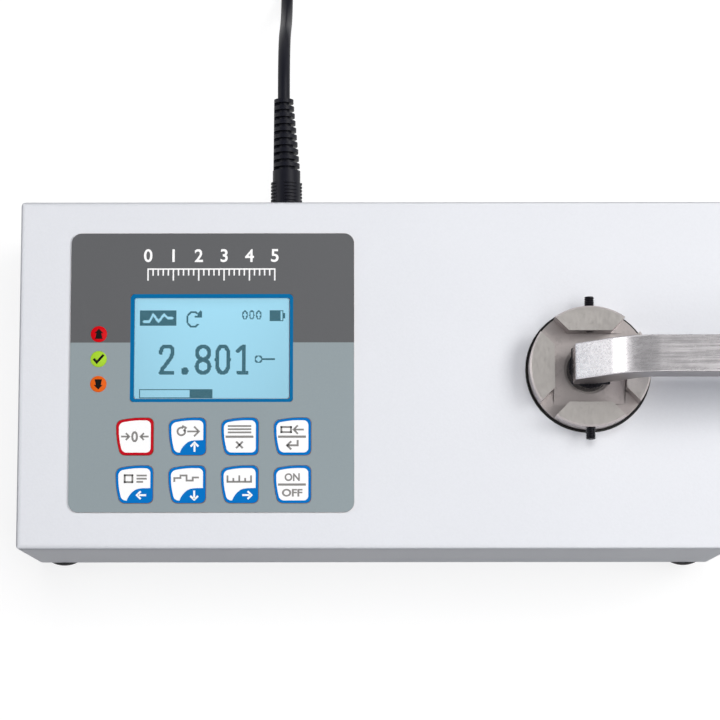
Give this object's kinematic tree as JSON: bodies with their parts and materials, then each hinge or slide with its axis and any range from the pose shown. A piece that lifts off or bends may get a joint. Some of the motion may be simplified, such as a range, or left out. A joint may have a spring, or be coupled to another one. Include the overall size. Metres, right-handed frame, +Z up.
{
  "type": "torque tester",
  "caption": "Benchtop torque tester: folded steel case with a display and membrane keys, a four-jaw fixture on a torsion shaft, a cranked lever and a coiled data lead.",
  "frame": {"origin": "centre of the four bench fixing holes, on the underside of the base plate", "axes": "+Z up, +X to the right along the case's width, -Y to the user in front"},
  "size_m": [0.335, 0.3455, 0.1347],
  "materials": {
    "white_paint": "fine textured powder coat",
    "zinc_steel": "zinc plated",
    "foot_rubber": "matt moulded",
    "overlay_film": "printed polyester, fine matt",
    "key_print": "printed polyester",
    "lens_red": "printed clear film",
    "lens_green": "printed clear film",
    "lens_orange": "printed clear film",
    "window_film": "clear gloss",
    "lcd_panel": "lit display",
    "flex_film": "polyimide",
    "contact_gold": "plated",
    "brass_posts": "turned",
    "board_green": "solder mask",
    "chip_black": "moulded epoxy",
    "cell_sleeve": "shrink sleeve",
    "milled_aluminium": "machined",
    "brushed_aluminium": "brushed lengthwise",
    "milled_steel": "nickel plated, milled",
    "bearing_steel": "ground",
    "blackened_steel": "oil blacked",
    "socket_plastic": "moulded",
    "cord_rubber": "soft moulded",
    "tie_fabric": "hook and loop"
  },
  "bodies": {
    "root": {"top_cover": "white_paint", "base_plate": "zinc_steel", "foot_front_left": "foot_rubber", "foot_front_right": "foot_rubber", "foot_rear_left": "foot_rubber", "foot_rear_right": "foot_rubber", "foot_screws": "zinc_steel", "foot_nuts": "zinc_steel", "cover_screws": "zinc_steel", "panel_overlay": "overlay_film", "key_circuit": "flex_film", "key_contacts": "contact_gold", "keypad_tail": "flex_film", "display_window": "window_film", "lcd_glass": "lcd_panel", "lcd_backlight": "key_print", "lcd_bezel": "zinc_steel", "display_board": "board_green", "display_standoffs": "brass_posts", "display_screws": "zinc_steel", "indicator_high": "lens_red", "indicator_ok": "lens_green", "indicator_low": "lens_orange", "indicator_leds": "window_film", "main_board": "board_green", "board_components": "chip_black", "board_standoffs": "brass_posts", "board_screws": "zinc_steel", "battery_pack": "cell_sleeve", "battery_bracket": "zinc_steel", "transducer_housing": "milled_aluminium", "shaft_bearing": "bearing_steel", "transducer_screws": "zinc_steel", "gauge_cable": "cord_rubber", "seal_ring": "foot_rubber", "data_socket": "socket_plastic", "charge_jack": "socket_plastic", "plug_body": "cord_rubber", "strain_relief": "cord_rubber", "cord_lead": "cord_rubber", "cord_coil": "cord_rubber", "coil_tie": "tie_fabric", "usb_plug": "cord_rubber"},
    "key_zero": {"key_zero": "key_print"},
    "key_up": {"key_up": "key_print"},
    "key_menu": {"key_menu": "key_print"},
    "key_enter": {"key_enter": "key_print"},
    "key_left": {"key_left": "key_print"},
    "key_down": {"key_down": "key_print"},
    "key_right": {"key_right": "key_print"},
    "key_power": {"key_power": "key_print"},
    "spindle": {"fixture_head": "milled_steel", "torsion_shaft": "milled_steel", "strain_gauges": "flex_film", "head_screws": "zinc_steel"},
    "screw_rear": {"set_screw_rear": "blackened_steel"},
    "screw_front": {"set_screw_front": "blackened_steel"},
    "lever": {"lever_arm": "brushed_aluminium", "lever_neck": "blackened_steel", "lever_washer": "foot_rubber"}
  },
  "joints": [
    {"name": "key_zero_press", "type": "slide", "parent": "root", "child": "key_zero", "axis": [0, 0, -1], "range_m": [0, 0.0002], "stiffness_N_per_m": 300},
    {"name": "key_up_press", "type": "slide", "parent": "root", "child": "key_up", "axis": [0, 0, -1], "range_m": [0, 0.0002], "stiffness_N_per_m": 300},
    {"name": "key_menu_press", "type": "slide", "parent": "root", "child": "key_menu", "axis": [0, 0, -1], "range_m": [0, 0.0002], "stiffness_N_per_m": 300},
    {"name": "key_enter_press", "type": "slide", "parent": "root", "child": "key_enter", "axis": [0, 0, -1], "range_m": [0, 0.0002], "stiffness_N_per_m": 300},
    {"name": "key_left_press", "type": "slide", "parent": "root", "child": "key_left", "axis": [0, 0, -1], "range_m": [0, 0.0002], "stiffness_N_per_m": 300},
    {"name": "key_down_press", "type": "slide", "parent": "root", "child": "key_down", "axis": [0, 0, -1], "range_m": [0, 0.0002], "stiffness_N_per_m": 300},
    {"name": "key_right_press", "type": "slide", "parent": "root", "child": "key_right", "axis": [0, 0, -1], "range_m": [0, 0.0002], "stiffness_N_per_m": 300},
    {"name": "key_power_press", "type": "slide", "parent": "root", "child": "key_power", "axis": [0, 0, -1], "range_m": [0, 0.0002], "stiffness_N_per_m": 300},
    {"name": "head_twist", "type": "hinge", "parent": "root", "child": "spindle", "pos_m": [0.084, 0.0014, 0.075], "axis": [0, 0, 1], "range_deg": [-1, 1], "stiffness_Nm_per_rad": 40},
    {"name": "screw_rear_feed", "type": "slide", "parent": "spindle", "child": "screw_rear", "axis": [0, -1, 0], "range_m": [-0.004, 0.005]},
    {"name": "screw_front_feed", "type": "slide", "parent": "spindle", "child": "screw_front", "axis": [0, 1, 0], "range_m": [-0.004, 0.005]},
    {"name": "lever_lift", "type": "slide", "parent": "spindle", "child": "lever", "axis": [0, 0, 1], "range_m": [0, 0.02]}
  ]
}
